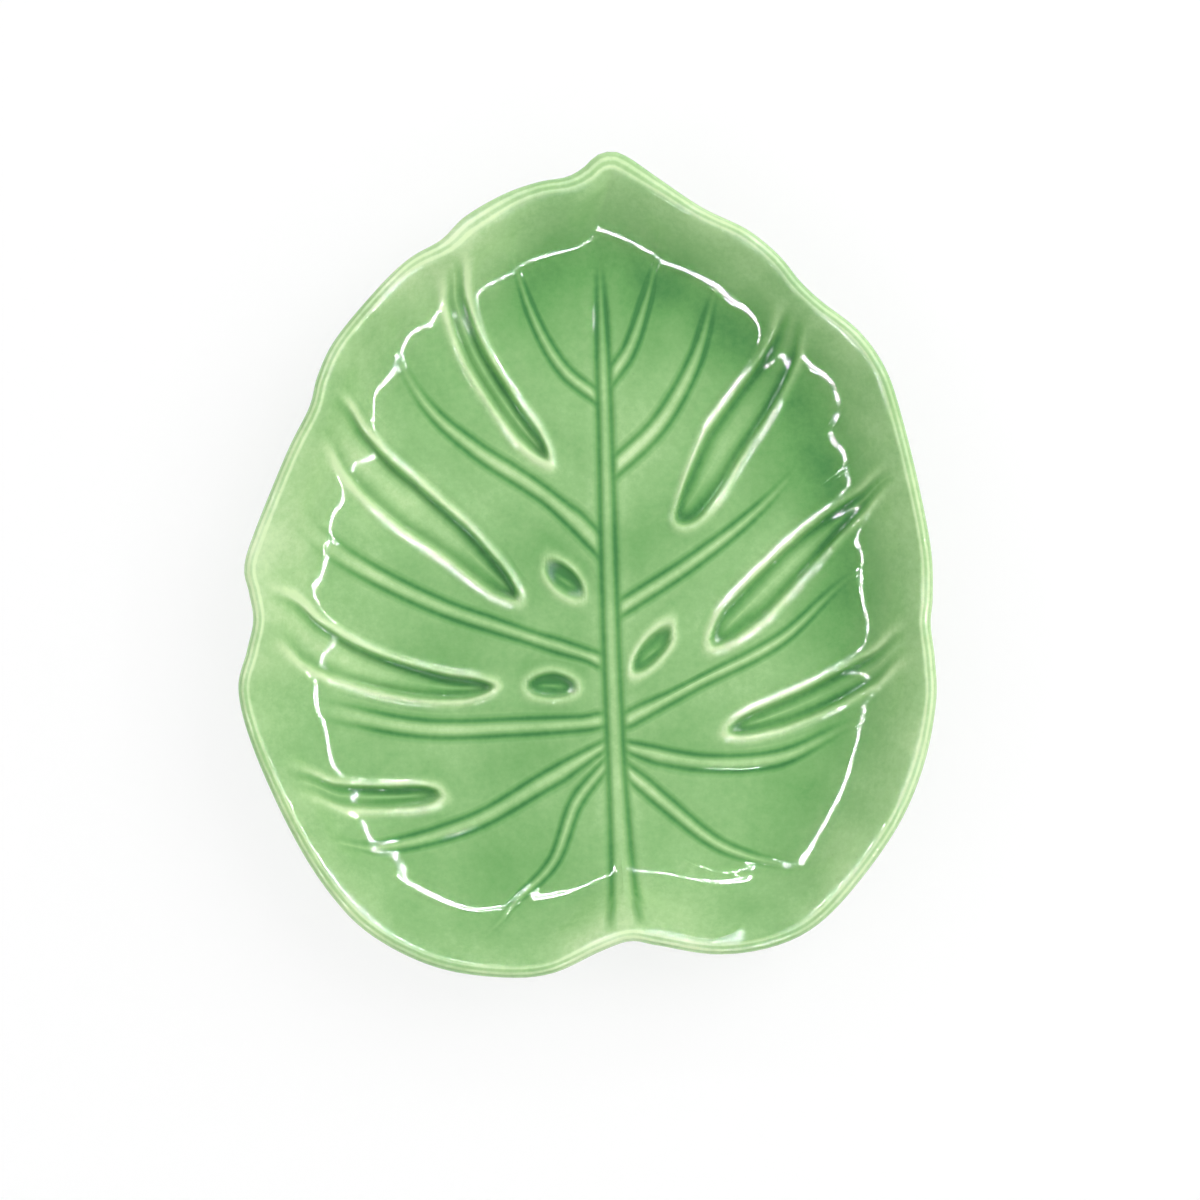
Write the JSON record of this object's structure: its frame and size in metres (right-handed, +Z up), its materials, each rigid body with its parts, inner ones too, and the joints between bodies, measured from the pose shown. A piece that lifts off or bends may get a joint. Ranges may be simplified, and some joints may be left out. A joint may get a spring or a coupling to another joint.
{
  "type": "leaf shaped plate",
  "caption": "Shallow leaf-shaped serving plate in green glazed clay, with moulded veins, slots and holes, a rising rim and a bare foot ring.",
  "frame": {"origin": "centre of the leaf's outline, on the table plane that the foot ring stands on", "axes": "+Y towards the leaf's tip, +Z up out of the plate's face, +X to the right of the leaf seen from above"},
  "size_m": [0.1858, 0.2198, 0.024],
  "materials": {
    "clay": "bare fired clay, matte and slightly gritty",
    "glaze": "glossy green glaze, darker where it pools and paler on raised edges"
  },
  "bodies": {
    "root": {"clay_body": "clay", "glaze_coat": "glaze", "foot_well_glaze": "glaze"}
  },
  "joints": []
}
